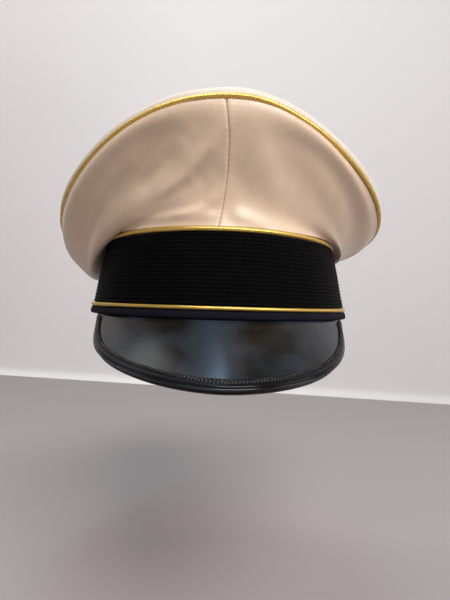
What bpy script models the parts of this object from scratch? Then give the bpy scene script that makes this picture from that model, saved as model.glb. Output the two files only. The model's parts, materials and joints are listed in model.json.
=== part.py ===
"""A military peaked cap with a saddle-shaped white crown, a ribbed mohair band and a patent visor.

The origin is the middle of the head opening, in the plane of the band's lower edge. +Z is up and the
visor points along -Y. An angle of 0 is the front of the cap, and 90 degrees is its +X side. Lengths
in this file are millimetres until place() turns them into metres.
"""

from math import atan2, comb, cos, pi, radians, sin

import bmesh
import bpy
from mathutils import Vector

MM = 0.001
WELD = 0.000001
FITTING_GAP = 0.3
STEPS_ROUND = 40  # every oval ring is divided at the same angles, so that rings nest without touching
STEP = 2 * pi / STEPS_ROUND
VISOR_STEPS = 20

# Head opening: an oval that takes a 57.5 cm head
OPENING_HALF_WIDTH = 82.3
OPENING_HALF_LENGTH = 100.3
OPENING_HEIGHT = 5.9  # the height at which the opening measures this
SIDE_LEAN = 0.2155  # how far the band leans in for each millimetre that it rises
FRONT_LEAN = 0.0605

# The band's layers, each from its inner face outwards
SWEATBAND_IN, SWEATBAND_THICK = 0.0, 1.2
LINING_IN, LINING_THICK = 1.5, 0.5
FOUNDATION_IN, FOUNDATION_THICK = 2.3, 1.6
FLANGE_IN, FLANGE_THICK = 4.25, 0.7
CLOTH_IN, CLOTH_THICK = 5.5, 0.8
BRAID_IN, BRAID_THICK = 6.6, 1.3
BRAID_OUT = BRAID_IN + BRAID_THICK

# Heights on the band
WELT_TOP = 4.6
EDGE_PIPING_HEIGHT, EDGE_PIPING_RADIUS = 5.9, 1.1
TOP_PIPING_HEIGHT, TOP_PIPING_RADIUS = 47.2, 1.3
TOP_PIPING_OUT = 7.3
BRAID_BOTTOM, BRAID_TOP = 7.3, 45.6
FOUNDATION_BOTTOM, FOUNDATION_TOP = 3.0, 45.0
SWEATBAND_BOTTOM, SWEATBAND_TOP = 0.4, 40.0
JOIN_BOTTOM, JOIN_TOP, JOIN_THICK = 8.0, 44.8, 0.7
TAB_BOTTOM, TAB_TOP, TAB_THICK = 9.0, 24.0, 0.4
LINING_BOTTOM, LINING_BEND = 7.0, 46.0

# The rim, an oval wire bent into a saddle
RIM_HALF_WIDTH = 113.8
RIM_HALF_LENGTH = 126.0
RIM_BACKSET = 6.0
RIM_SIDE_HEIGHT = 46.0
RIM_FRONT_RISE = 63.3
RIM_BACK_RISE = 10.0
RIM_PIPING_RADIUS = 1.5
WIRE_INSET, WIRE_LIFT, WIRE_RADIUS = 5.8, 0.6, 1.0
FERRULE_THICK = 0.5
PADDING_IN, PADDING_THICK = 2.4, 1.3
CROWN_CLOTH = 0.8
ROLL_RADIUS = PADDING_IN + PADDING_THICK + 0.5
CROWN_HEIGHT = 92.0  # the top panel over the middle of the head
CROWN_HANG = 30.0  # how far the crown's cloth dips at the sides, as the pull on its curve
LINING_EDGE_HEIGHT = 57.0
LINING_HEIGHT = 85.0
SHIELD_START, SHIELD_THICK = 0.45, 0.4  # the sweat shield covers the lining's middle from this share

# The visor, measured along its slope from the band
VISOR_HALF_ANGLE = radians(55.5)
VISOR_LENGTH = 48.5
VISOR_END_LENGTH = 2.2
VISOR_SLOPE = radians(35)
VISOR_END_SLOPE = radians(55)
VISOR_ROOT_OUT, VISOR_ROOT_HEIGHT = 7.4, -0.35
PATENT_THICK = 0.8
CORE_DEPTH = 1.3
UNDERSIDE_DEPTH, UNDERSIDE_THICK = 2.75, 0.6
UNDERSIDE_START = 4.0  # how far down the slope the underside begins
UNDERSIDE_REACH = 0.93  # its share of the visor's width
BINDING_LIP, BINDING_THICK = 4.0, 0.8

# Finish of each kind of material: colour, roughness, metallic
FINISHES = {
    "white_twill": ((0.76, 0.66, 0.54), 0.62, 0.0),
    "gold_braid": ((0.80, 0.55, 0.16), 0.35, 0.9),
    "black_mohair": ((0.012, 0.012, 0.014), 0.8, 0.0),
    "navy_twill": ((0.02, 0.021, 0.035), 0.85, 0.0),
    "buckram_board": ((0.62, 0.56, 0.44), 0.9, 0.0),
    "patent_leather": ((0.012, 0.013, 0.015), 0.08, 0.0),
    "visor_fibre": ((0.16, 0.14, 0.12), 0.8, 0.0),
    "visor_lining": ((0.03, 0.03, 0.032), 0.55, 0.0),
    "spring_steel": ((0.55, 0.56, 0.58), 0.3, 1.0),
    "brass": ((0.78, 0.57, 0.23), 0.3, 1.0),
    "foam": ((0.82, 0.80, 0.74), 0.9, 0.0),
    "lining_satin": ((0.78, 0.72, 0.62), 0.4, 0.0),
    "clear_vinyl": ((0.85, 0.86, 0.86), 0.12, 0.0),
    "tan_leather": ((0.36, 0.20, 0.10), 0.5, 0.0),
    "black_ribbon": ((0.02, 0.02, 0.022), 0.5, 0.0),
}


def finish(kind):
    material = bpy.data.materials.get(kind)
    if material:
        return material
    colour, roughness, metallic = FINISHES[kind]
    material = bpy.data.materials.new(kind)
    material.use_nodes = True
    shader = material.node_tree.nodes["Principled BSDF"]
    shader.inputs["Base Color"].default_value = (*colour, 1.0)
    shader.inputs["Roughness"].default_value = roughness
    shader.inputs["Metallic"].default_value = metallic
    return material


def place(point):
    return Vector(point) * MM


def smoothstep(value):
    held = min(max(value, 0.0), 1.0)
    return held * held * (3 - 2 * held)


def mix(start, end, share):
    return start + (end - start) * share


# ---------------------------------------------------------------- object makers


def new_object(name, data, kind):
    data.materials.append(finish(kind))
    piece = bpy.data.objects.new(name, data)
    PARTS.objects.link(piece)
    return piece


def mapped_grid(name, point, steps_u, steps_v, weld):
    """A grid laid out by point(u, v), u and v running from 0 to 1. Welding joins edges that meet."""
    grid = bmesh.new()
    bmesh.ops.create_grid(grid, x_segments=steps_u, y_segments=steps_v, size=0.5)
    for vertex in grid.verts:
        vertex.co = place(point(vertex.co.x + 0.5, vertex.co.y + 0.5))
    if weld:
        bmesh.ops.remove_doubles(grid, verts=grid.verts, dist=WELD)
    mesh = bpy.data.meshes.new(name)
    grid.to_mesh(mesh)
    grid.free()
    mesh.shade_smooth()
    mesh.set_sharp_from_angle(angle=radians(40))
    return mesh


def shell(name, kind, point, steps_u, steps_v, thickness, weld=True):
    """A surface made solid by Solidify, on the side that the surface faces."""
    piece = new_object(name, mapped_grid(name, point, steps_u, steps_v, weld), kind)
    solid = piece.modifiers.new("thickness", "SOLIDIFY")
    solid.thickness = thickness * MM
    solid.offset = 1.0
    solid.use_even_offset = True
    return piece


def closed_ring(name, kind, point, steps_v):
    """A ring whose section, run through by v, comes back to its own start."""
    return new_object(name, mapped_grid(name, point, STEPS_ROUND, steps_v, True), kind)


def tube(name, kind, points, radius, closed, resolution=2):
    """A round tube along the points. Its sides number four and twice the resolution."""
    curve = bpy.data.curves.new(name, "CURVE")
    curve.dimensions = "3D"
    curve.bevel_depth = radius * MM
    curve.bevel_resolution = resolution
    curve.use_fill_caps = not closed
    spline = curve.splines.new("POLY")
    spline.points.add(len(points) - 1)
    for spline_point, point in zip(spline.points, points):
        spline_point.co = (*place(point), 1.0)
    spline.use_cyclic_u = closed
    spline.use_smooth = True
    return new_object(name, curve, kind)


# ---------------------------------------------------------------- outlines


def round_angle(u):
    """All the way round, starting and ending at the back."""
    return pi + 2 * pi * u


def arc_angle(start, end):
    return lambda u: mix(start, end, u)


def band_point(angle, out, height):
    """A point on the band, so far out from the head opening."""
    rise = height - OPENING_HEIGHT
    half_width = OPENING_HALF_WIDTH + out - SIDE_LEAN * rise
    half_length = OPENING_HALF_LENGTH + out - FRONT_LEAN * rise
    return Vector((half_width * sin(angle), -half_length * cos(angle), height))


def rim_centre(angle):
    """The middle of the gold piping on the rim."""
    front = abs(cos(angle / 2)) ** 7
    back = abs(sin(angle / 2)) ** 8
    height = RIM_SIDE_HEIGHT + RIM_FRONT_RISE * front + RIM_BACK_RISE * back
    return Vector((RIM_HALF_WIDTH * sin(angle), RIM_BACKSET - RIM_HALF_LENGTH * cos(angle), height))


def rim_outward(angle):
    """The level direction square to the rim's oval."""
    return Vector((sin(angle) / RIM_HALF_WIDTH, -cos(angle) / RIM_HALF_LENGTH, 0)).normalized()


def rim_point(angle, inset, lift):
    """A point of the rim's section, measured from the middle of the piping."""
    return rim_centre(angle) - rim_outward(angle) * inset + Vector((0, 0, lift))


def roll_point(angle, turn, radius):
    """A point round the rim's wire: turn 0 points outwards and 90 degrees points up."""
    return rim_point(angle, WIRE_INSET - radius * cos(turn), WIRE_LIFT + radius * sin(turn))


def bezier(points, share):
    order = len(points) - 1
    terms = (comb(order, i) * share**i * (1 - share) ** (order - i) * p for i, p in enumerate(points))
    return sum(terms, Vector((0, 0)))


def quarter_point(angle, share, inward=0.0):
    """The crown's side wall, from above the band's top piping (share 0) to under the rim (share 1).

    It stands up and hollows back at the front, and hangs down over the band at the sides and back.
    """
    turned = abs(atan2(sin(angle), cos(angle)))
    foot = band_point(angle, TOP_PIPING_OUT, TOP_PIPING_HEIGHT)
    top = roll_point(angle, radians(-30), ROLL_RADIUS)
    level = Vector((top.x - foot.x, top.y - foot.y, 0))
    out, rise = level.length, top.z - foot.z
    hang = CROWN_HANG * mix(1.0, 0.72, smoothstep((turned - pi / 2) / (pi / 2)))
    standing = [(0, 1.9), (-0.5, 0.23 * rise), (-3.5, 0.5 * rise)]
    standing += [(out - 13.4, 0.7 * rise), (out - 5.4, 0.845 * rise), (out, rise)]
    hanging = [(0, 2.9), (7.0, 5.8), (5.2, -0.73 * hang)]
    hanging += [(7.0, -1.1 * hang), (out - 8.6, rise - hang), (out, rise)]
    share_hanging = smoothstep((turned - radians(20)) / radians(72))
    profile = [Vector(a).lerp(Vector(b), share_hanging) for a, b in zip(standing, hanging)]
    across, up = bezier(profile, share)
    return foot + level.normalized() * (across - inward) + Vector((0, 0, up))


def dome_height(share, edge, middle, fullness):
    """A domed sheet's height, from its edge (share 0) to its middle (share 1)."""
    return mix(edge, middle, 1 - (1 - share) ** fullness)


# ---------------------------------------------------------------- crown


def add_quarters():
    """Four cloth panels, with seams at the front, the back and both sides."""
    seam = radians(0.12)
    starts = {
        "quarter_front_right": 0.0,
        "quarter_rear_right": pi / 2,
        "quarter_rear_left": pi,
        "quarter_front_left": 3 * pi / 2,
    }
    for name, start in starts.items():
        angle = arc_angle(start + seam, start + pi / 2 - seam)
        shell(
            name,
            "white_twill",
            lambda u, v, angle=angle: quarter_point(angle(u), v),
            STEPS_ROUND // 4,
            8,
            CROWN_CLOTH,
            weld=False,
        )


def top_panel_point(angle, share):
    """The top panel: a roll over the rim's padding, then a sheet that rises over the head."""
    roll_share = 0.375
    if share <= roll_share:
        return roll_point(angle, radians(mix(18, 96, share / roll_share)), ROLL_RADIUS)
    edge = roll_point(angle, radians(96), ROLL_RADIUS)
    inner = (share - roll_share) / (1 - roll_share)
    middle = Vector((0, RIM_BACKSET, 0))
    point = edge.lerp(middle, inner)
    point.z = dome_height(inner, edge.z, CROWN_HEIGHT, 1.6)
    return point


def add_crown_top():
    shell(
        "crown_top_panel",
        "white_twill",
        lambda u, v: top_panel_point(round_angle(u), v),
        STEPS_ROUND,
        8,
        CROWN_CLOTH,
    )


def add_rim():
    angles = [round_angle(i / STEPS_ROUND) for i in range(STEPS_ROUND)]
    tube("rim_piping", "gold_braid", [rim_centre(a) for a in angles], RIM_PIPING_RADIUS, True)
    gap = radians(0.4)
    wire_angles = [round_angle(0) + gap] + angles[1:] + [round_angle(1) - gap]
    wire = [rim_point(a, WIRE_INSET, WIRE_LIFT) for a in wire_angles]
    tube("rim_wire", "spring_steel", wire, WIRE_RADIUS, False, resolution=1)
    shell(
        "wire_ferrule",
        "brass",
        lambda u, v: roll_point(mix(pi - STEP, pi + STEP, u), 2 * pi * v, WIRE_RADIUS + FITTING_GAP),
        2,
        10,
        FERRULE_THICK,
    )
    shell(
        "rim_padding",
        "foam",
        lambda u, v: roll_point(round_angle(u), radians(mix(-70, 150, v)), PADDING_IN),
        STEPS_ROUND,
        4,
        PADDING_THICK,
    )


def add_front_support():
    """A springy strip behind the front seam that holds the rim up. Its foot is held by the band."""
    half_angle = 2 * STEP
    foot_share = 0.25

    def point(u, v):
        angle = mix(-half_angle, half_angle, u)
        if v < foot_share:
            return band_point(angle, FLANGE_IN, mix(36, 47, v / foot_share))
        share = mix(0.03, 0.8, (v - foot_share) / (1 - foot_share))
        return quarter_point(angle, share, inward=3.4)

    shell("front_support", "visor_fibre", point, 4, 8, FLANGE_THICK, weld=False)


# ---------------------------------------------------------------- band


def band_shell(name, kind, out, thickness, bottom, top):
    shell(
        name,
        kind,
        lambda u, v: band_point(round_angle(u), out, mix(bottom, top, v)),
        STEPS_ROUND,
        1,
        thickness,
    )


def band_tube(name, kind, out, height, radius):
    angles = [round_angle(i / STEPS_ROUND) for i in range(STEPS_ROUND)]
    tube(name, kind, [band_point(a, out, height) for a in angles], radius, True, resolution=1)


def add_band():
    low, high = FOUNDATION_BOTTOM, FOUNDATION_TOP
    band_shell("band_foundation", "buckram_board", FOUNDATION_IN, FOUNDATION_THICK, low, high)
    band_shell("band_cloth", "navy_twill", CLOTH_IN, CLOTH_THICK, WELT_TOP + FITTING_GAP, BRAID_TOP)
    band_shell("band_braid", "black_mohair", BRAID_IN, BRAID_THICK, BRAID_BOTTOM, BRAID_TOP)
    band_tube("band_top_piping", "gold_braid", TOP_PIPING_OUT, TOP_PIPING_HEIGHT, TOP_PIPING_RADIUS)
    band_tube("band_edge_piping", "gold_braid", BRAID_OUT, EDGE_PIPING_HEIGHT, EDGE_PIPING_RADIUS)
    shell(
        "braid_join",
        "black_mohair",
        lambda u, v: band_point(
            mix(pi - STEP / 2, pi + STEP / 2, u), BRAID_OUT + FITTING_GAP, mix(JOIN_BOTTOM, JOIN_TOP, v)
        ),
        2,
        2,
        JOIN_THICK,
        weld=False,
    )
    add_welt()


def add_welt():
    """The rolled navy edge under the lower piping."""
    middle_out, middle_height = 7.2, WELT_TOP / 2
    half_width, half_height = 1.6, WELT_TOP / 2

    def point(u, v):
        turn = 2 * pi * v
        out = middle_out + half_width * cos(turn)
        return band_point(round_angle(u), out, middle_height + half_height * sin(turn))

    closed_ring("band_welt", "navy_twill", point, 8)


# ---------------------------------------------------------------- inside


def add_sweatband():
    band_shell("sweatband", "tan_leather", SWEATBAND_IN, SWEATBAND_THICK, SWEATBAND_BOTTOM, SWEATBAND_TOP)
    reed_out, reed_height, reed_radius = 2.7, 1.4, 0.9
    band_tube("sweatband_reed", "tan_leather", reed_out, reed_height, reed_radius)
    add_bow()
    shell(
        "size_tab",
        "lining_satin",
        lambda u, v: band_point(
            mix(pi - STEP, pi + STEP, u), -FITTING_GAP - TAB_THICK, mix(TAB_BOTTOM, TAB_TOP, v)
        ),
        2,
        1,
        TAB_THICK,
        weld=False,
    )


def add_bow():
    """A small tied cord at the back of the sweatband: a figure of eight whose strands pass clear."""
    half_width, half_height, half_depth, radius = 9.0, 3.0, 1.2, 0.7
    height, points, clear = 33.0, 20, 0.7
    middle = band_point(pi, -clear - radius - half_depth, height)
    turns = [2 * pi * i / points for i in range(points)]
    loop = [
        middle + Vector((half_width * sin(t), half_depth * cos(t), half_height * sin(2 * t))) for t in turns
    ]
    tube("sweatband_bow", "black_ribbon", loop, radius, True, resolution=1)


def lining_edge(angle):
    return band_point(angle, LINING_IN - 2.0, LINING_EDGE_HEIGHT)


def lining_dome_point(angle, share, drop):
    """The lining's top, a low dome over the head."""
    edge = lining_edge(angle)
    point = edge.lerp(Vector((0, 0, 0)), share)
    point.z = dome_height(share, LINING_EDGE_HEIGHT, LINING_HEIGHT, 2) - drop
    return point


def add_lining():
    def side_point(u, v):
        angle = round_angle(u)
        if v <= 0.5:
            return band_point(angle, LINING_IN, mix(LINING_BOTTOM, LINING_BEND, 2 * v))
        return band_point(angle, LINING_IN, LINING_BEND).lerp(lining_edge(angle), 2 * v - 1)

    shell("lining_side", "lining_satin", side_point, STEPS_ROUND, 2, LINING_THICK)
    shell(
        "lining_top",
        "lining_satin",
        lambda u, v: lining_dome_point(round_angle(u), v, -FITTING_GAP - LINING_THICK),
        STEPS_ROUND,
        4,
        LINING_THICK,
    )
    shell(
        "sweat_shield",
        "clear_vinyl",
        lambda u, v: lining_dome_point(round_angle(u), mix(SHIELD_START, 1.0, v), SHIELD_THICK),
        STEPS_ROUND // 2,
        4,
        SHIELD_THICK,
    )


# ---------------------------------------------------------------- visor


def visor_length(side):
    """Length along the slope; side runs from -1 to 1 across the visor."""
    return mix(VISOR_LENGTH, VISOR_END_LENGTH, abs(side) ** 1.7)


def visor_slope(side):
    return mix(VISOR_SLOPE, VISOR_END_SLOPE, abs(side) ** 1.7)


def visor_point(side, share, depth=0.0):
    """A point of the visor, from the band (share 0) to its edge (share 1), and so deep under its top."""
    angle = VISOR_HALF_ANGLE * side
    root = band_point(angle, VISOR_ROOT_OUT, VISOR_ROOT_HEIGHT)
    half_width, half_length = OPENING_HALF_WIDTH + BRAID_OUT, OPENING_HALF_LENGTH + BRAID_OUT
    outward = Vector((sin(angle) / half_width, -cos(angle) / half_length, 0)).normalized()
    slope = visor_slope(side)
    down_slope = outward * cos(slope) - Vector((0, 0, sin(slope)))
    under = -outward * sin(slope) - Vector((0, 0, cos(slope)))
    return root + down_slope * (visor_length(side) * share) + under * depth


def add_visor_patent():
    """The glossy top, with a level edge that runs in under the welt."""

    def point(u, v):
        side = mix(-1, 1, u)
        if v == 0:
            return band_point(VISOR_HALF_ANGLE * side, VISOR_ROOT_OUT - 1.0, VISOR_ROOT_HEIGHT)
        return visor_point(side, (v - 0.2) / 0.8)

    shell("visor_patent", "patent_leather", point, VISOR_STEPS, 5, PATENT_THICK, weld=False)


def add_visor_underside():
    def point(u, v):
        side = mix(-UNDERSIDE_REACH, UNDERSIDE_REACH, u)
        start = UNDERSIDE_START / visor_length(side)
        return visor_point(side, mix(start, 0.99, v), UNDERSIDE_DEPTH)

    shell("visor_underside", "visor_lining", point, VISOR_STEPS, 4, UNDERSIDE_THICK, weld=False)


def add_visor_core():
    """The stiff core, whose flange stands up inside the band and is sewn there."""
    flange_out, flange_top, flange_bottom = FLANGE_IN + FLANGE_THICK, 9.0, 0.5

    def point(u, v):
        side = mix(-1, 1, u)
        angle = VISOR_HALF_ANGLE * side
        row = round(v * 7)
        if row < 2:
            return band_point(angle, flange_out, (flange_top, flange_bottom)[row])
        if row == 2:
            return band_point(angle, flange_out + 0.2, VISOR_ROOT_HEIGHT - CORE_DEPTH)
        return visor_point(side, (row - 3) / 4 * 0.99, CORE_DEPTH)

    shell("visor_core", "visor_fibre", point, VISOR_STEPS, 7, FLANGE_THICK, weld=False)


def add_visor_binding():
    """A folded strip round the visor's edge: a lip on top, a rolled edge and a lip below."""
    top = -FITTING_GAP - 0.05
    bottom = UNDERSIDE_DEPTH + UNDERSIDE_THICK - top
    section = [(-1.0, top), (-0.35, top), (0.02, top + 0.1), (0.1, 0.5)]
    section += [(0.14, bottom / 2), (0.1, bottom - 0.9), (0.02, bottom - 0.1)]
    section += [(-0.35, bottom), (-1.0, bottom)]

    def point(u, v):
        side = mix(-0.99, 0.99, u)
        length = visor_length(side)
        lip = min(BINDING_LIP, 0.55 * length)
        across, down = section[round(v * (len(section) - 1))]
        beyond = across * lip if across < 0 else FITTING_GAP + across * BINDING_LIP
        return visor_point(side, 1 + beyond / length, down)

    steps_down = len(section) - 1
    piece = shell("visor_binding", "patent_leather", point, VISOR_STEPS, steps_down, BINDING_THICK, weld=False)
    piece.data.flip_normals()


def add_visor():
    add_visor_patent()
    add_visor_core()
    add_visor_underside()
    add_visor_binding()


# ---------------------------------------------------------------- build

for leftover in list(bpy.data.objects):
    bpy.data.objects.remove(leftover, do_unlink=True)

PARTS = bpy.data.collections.new("peaked_cap")
bpy.context.scene.collection.children.link(PARTS)

add_quarters()
add_crown_top()
add_rim()
add_front_support()
add_band()
add_sweatband()
add_lining()
add_visor()
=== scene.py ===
"""The looks of a military peaked cap: twill crown, braided gold piping, ribbed mohair band and patent visor.

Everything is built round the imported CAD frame, with +Z up and the visor along -Y. Lengths are millimetres
until new_piece() makes them metres; the stage, lights and camera are in metres. An angle of 0 is the cap's
front and grows towards +X. A grid has angles down its rows and shares, from 0 to 1, along its columns.
"""

import json
from math import pi, radians

import bpy
import numpy as np
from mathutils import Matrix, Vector
from numpy import clip, cos, exp, sin

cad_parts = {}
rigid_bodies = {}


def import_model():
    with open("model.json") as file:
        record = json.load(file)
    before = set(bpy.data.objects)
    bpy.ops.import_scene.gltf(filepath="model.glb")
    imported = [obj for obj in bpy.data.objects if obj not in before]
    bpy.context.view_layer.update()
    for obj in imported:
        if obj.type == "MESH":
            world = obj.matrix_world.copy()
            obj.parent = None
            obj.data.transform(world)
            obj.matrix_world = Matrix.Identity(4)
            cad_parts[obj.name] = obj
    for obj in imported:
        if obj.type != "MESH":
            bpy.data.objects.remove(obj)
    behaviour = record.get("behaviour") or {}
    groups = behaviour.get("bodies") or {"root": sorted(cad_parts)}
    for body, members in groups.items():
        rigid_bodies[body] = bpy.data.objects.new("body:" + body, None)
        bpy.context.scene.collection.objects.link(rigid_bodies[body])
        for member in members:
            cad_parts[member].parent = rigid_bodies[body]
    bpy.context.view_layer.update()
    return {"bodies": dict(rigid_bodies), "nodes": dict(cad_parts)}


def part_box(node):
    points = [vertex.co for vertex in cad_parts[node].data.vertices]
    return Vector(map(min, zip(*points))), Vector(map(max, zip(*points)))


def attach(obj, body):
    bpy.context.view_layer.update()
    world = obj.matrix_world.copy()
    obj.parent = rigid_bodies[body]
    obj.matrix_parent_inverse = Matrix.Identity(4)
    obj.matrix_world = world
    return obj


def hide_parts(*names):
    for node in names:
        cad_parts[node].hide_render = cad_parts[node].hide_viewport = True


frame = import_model()
BODY = next(iter(frame["bodies"]))
MM = 0.001
ALL_ROUND = 2 * pi


# ---- sizes, from the frame


def node_box(node):
    low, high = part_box(node)
    return np.array(low) / MM, np.array(high) / MM


EDGE_PIPING_RADIUS = 1.1
TOP_PIPING_RADIUS = 1.3
RIM_PIPING_RADIUS = 1.5
PIPING_SEAT = 7.3  # how far the top piping's middle stands out from the head opening

_edge_low, _edge_high = node_box("band_edge_piping")
_top_low, _top_high = node_box("band_top_piping")
_braid_low, _braid_high = node_box("band_braid")
_rim_low, _rim_high = node_box("rim_piping")

EDGE_HEIGHT = (_edge_low[2] + _edge_high[2]) / 2
TOP_HEIGHT = (_top_low[2] + _top_high[2]) / 2
BRAID_OUT = 7.9
HALF_WIDTH = _edge_high[0] - EDGE_PIPING_RADIUS - BRAID_OUT
HALF_LENGTH = _edge_high[1] - EDGE_PIPING_RADIUS - BRAID_OUT
_band_rise = TOP_HEIGHT - EDGE_HEIGHT
SIDE_LEAN = (HALF_WIDTH + PIPING_SEAT + TOP_PIPING_RADIUS - _top_high[0]) / _band_rise
FRONT_LEAN = (HALF_LENGTH + PIPING_SEAT + TOP_PIPING_RADIUS - _top_high[1]) / _band_rise
BRAID_BOTTOM, BRAID_TOP = _braid_low[2], _braid_high[2] - 0.3
WELT_TOP = node_box("band_welt")[1][2]

RIM_HALF_WIDTH = _rim_high[0] - RIM_PIPING_RADIUS
RIM_HALF_LENGTH = (_rim_high[1] - _rim_low[1]) / 2 - RIM_PIPING_RADIUS
RIM_BACKSET = (_rim_high[1] + _rim_low[1]) / 2
RIM_FRONT_HEIGHT = _rim_high[2] - RIM_PIPING_RADIUS
RIM_SIDE_HEIGHT = 46.0
RIM_BACK_RISE = 10.0
WIRE_INSET, WIRE_LIFT = 5.8, 0.6
WIRE_RADIUS, TUBE_RADIUS, TUBE_WALL = 1.0, 1.6, 0.45
ROLL_RADIUS = 4.2
WADDING_OUT, WADDING_IN = 3.55, 2.5  # the wadding's outside and inside, from the middle of the wire
CROWN_CLOTH = 0.7
CROWN_HEIGHT = 92.0
CROWN_LEAN = 2.0  # the soft crown sits a little higher on one side
RIM_KINK, RIM_DIP, RIM_RIGHT_LIFT = 0.9, 1.2, 4.2  # the rim wire is bent up, down and up again on that side

VISOR_HALF_ANGLE = radians(54.0)
VISOR_TURN = radians(2.3)  # it is sewn on a little to one side
VISOR_LIFT = radians(5.0)  # and its left half is bent up a little
VISOR_LENGTH, VISOR_END_LENGTH = 48.5, 2.2
VISOR_SLOPE, VISOR_END_SLOPE = radians(35), radians(55)
VISOR_ROOT_OUT, VISOR_ROOT_HEIGHT = 7.4, -0.35


# ---- small helpers


def smoothstep(value):
    held = clip(value, 0.0, 1.0)
    return held * held * (3 - 2 * held)


def mix(start, end, share):
    return start + (end - start) * share


def joined(*parts):
    """One array of points from the arrays of their numbers, each stretched to fit the others."""
    return np.stack(np.broadcast_arrays(*parts), axis=-1)


def unit(vectors):
    return vectors / np.maximum(np.linalg.norm(vectors, axis=-1, keepdims=True), 1e-12)


def signed(angle):
    """The angle from the front, between minus and plus half a turn."""
    return (np.asarray(angle) + pi) % ALL_ROUND - pi


def hump(value, middle, width):
    return exp(-(((value - middle) / width) ** 2))


def smooth_noise(seed, *coordinates, waves=5, lowest=1.0, highest=4.0):
    """Soft wandering between about -1 and 1, from a few sine waves with fixed random directions."""
    random = np.random.default_rng(seed)
    total = 0.0
    for _ in range(waves):
        pull = random.normal(size=len(coordinates))
        pull *= random.uniform(lowest, highest) / np.linalg.norm(pull)
        phase = random.uniform(0, ALL_ROUND)
        total = total + sin(sum(p * c for p, c in zip(pull, coordinates)) + phase)
    return total / waves * 1.4


def scaled(vectors, lengths):
    return vectors * np.asarray(lengths)[..., None]


def down_rows(start, end, count):
    return np.linspace(start, end, count)[:, None]


def shares(count, last=1.0):
    """Shares from 0 upwards, along the columns of a grid."""
    return np.linspace(0, last, count)[None]


def round_angles(count):
    """Angles all the way round, starting at the back."""
    return pi + np.linspace(0, ALL_ROUND, count, endpoint=False)


def ring_rows(count):
    return round_angles(count)[:, None]


def tube_turns(count):
    """Angles once round a tube, along the columns of a grid."""
    return np.linspace(0, ALL_ROUND, count, endpoint=False)[None]


# ---- mesh makers


def steps(points, axis):
    return np.linalg.norm(np.diff(points, axis=axis), axis=-1)


def measured_each(points, axis):
    """Distance along every line of a grid."""
    along = np.cumsum(steps(points, axis), axis=axis)
    return np.concatenate([np.zeros_like(np.take(along, [0], axis=axis)), along], axis=axis)


def mean_size(points):
    """The mean length of a grid's lines both ways, in metres."""
    return [steps(points, axis).mean(axis=1 - axis).cumsum()[-1] * MM for axis in (0, 1)]


def longest(points, axis):
    """The longest line of a grid that way, in metres."""
    return float(steps(points, axis).sum(axis=axis).max()) * MM


def surface_normals(points):
    """Unit normals of a grid of points, on the side that a surface laid out this way faces."""
    return unit(np.cross(np.gradient(points, axis=0), np.gradient(points, axis=1)))


def raised(points, relief):
    return points + scaled(surface_normals(points), relief)


def placed(name, data):
    thing = bpy.data.objects.new(name, data)
    bpy.context.scene.collection.objects.link(thing)
    return thing


def new_piece(name, points, faces, look):
    """A smooth object from points in millimetres, which rides on the cap."""
    mesh = bpy.data.meshes.new(name)
    mesh.from_pydata((points.reshape(-1, 3) * MM).tolist(), [], faces)
    mesh.shade_smooth()
    mesh.materials.append(LOOK[look])
    piece = placed(name, mesh)
    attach(piece, BODY)
    return piece


# which ways a surface closes on itself, down its rows and along its columns
RING, CORD, TUBE = (True, False), (True, True), (False, True)


def surface(
    name, points, look, closed=(False, False), thickness=0.0, offset=-1.0, caps=False,
    repeats=None, datum=0, disc=False,
):
    """A surface through a grid of points in millimetres, with UVs in millimetres or running over repeats.

    The UVs are measured from the grid's first row, or from its last one for datum -1. A disc's last
    column closes on a middle point, and its UVs are those of cloth cut flat, straight down from above.
    """
    rows, columns = points.shape[:2]
    wrapped = points
    for axis in (0, 1):
        if closed[axis]:
            wrapped = np.concatenate([wrapped, np.take(wrapped, [0], axis=axis)], axis=axis)
    across, up = wrapped.shape[:2]
    if repeats:
        uv = joined(down_rows(0, repeats, across), shares(up))
    else:
        along_u = measured_each(wrapped, 0)
        uv = joined(along_u - along_u[[datum]], measured_each(wrapped, 1))
    i, j = np.meshgrid(np.arange(across - 1), np.arange(up - 1), indexing="ij")
    corners_i = np.stack([i, i + 1, i + 1, i], axis=-1).reshape(-1, 4)
    corners_j = np.stack([j, j, j + 1, j + 1], axis=-1).reshape(-1, 4)
    faces = ((corners_i % rows) * columns + corners_j % columns).tolist()
    uvs = uv[corners_i, corners_j].reshape(-1, 2)
    if caps:
        faces += [list(range(columns)), list(range((rows - 1) * columns, rows * columns))[::-1]]
        uvs = np.concatenate([uvs, np.zeros((2 * columns, 2))])
    if disc:
        hub = rows * columns
        ring = list(range(columns - 1, hub, columns))
        faces += [[here, after, hub] for here, after in zip(ring, ring[1:] + ring[:1])]
        points = np.concatenate([points.reshape(-1, 3), points[:, -1].mean(axis=0)[None]])
        uvs = points[np.concatenate(faces), :2]
    piece = new_piece(name, points, faces, look)
    layer = piece.data.uv_layers.new(name="cloth")
    layer.data.foreach_set("uv", uvs.astype(np.float32).ravel())
    if thickness:
        solid = piece.modifiers.new("thickness", "SOLIDIFY")
        solid.thickness = thickness * MM
        solid.offset = offset
        solid.use_even_offset = False
    return piece


STITCH_PROFILE = ((0.0, 0.35), (0.14, 0.85), (0.5, 1.0), (0.86, 0.85), (1.0, 0.35))  # share along, width


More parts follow.
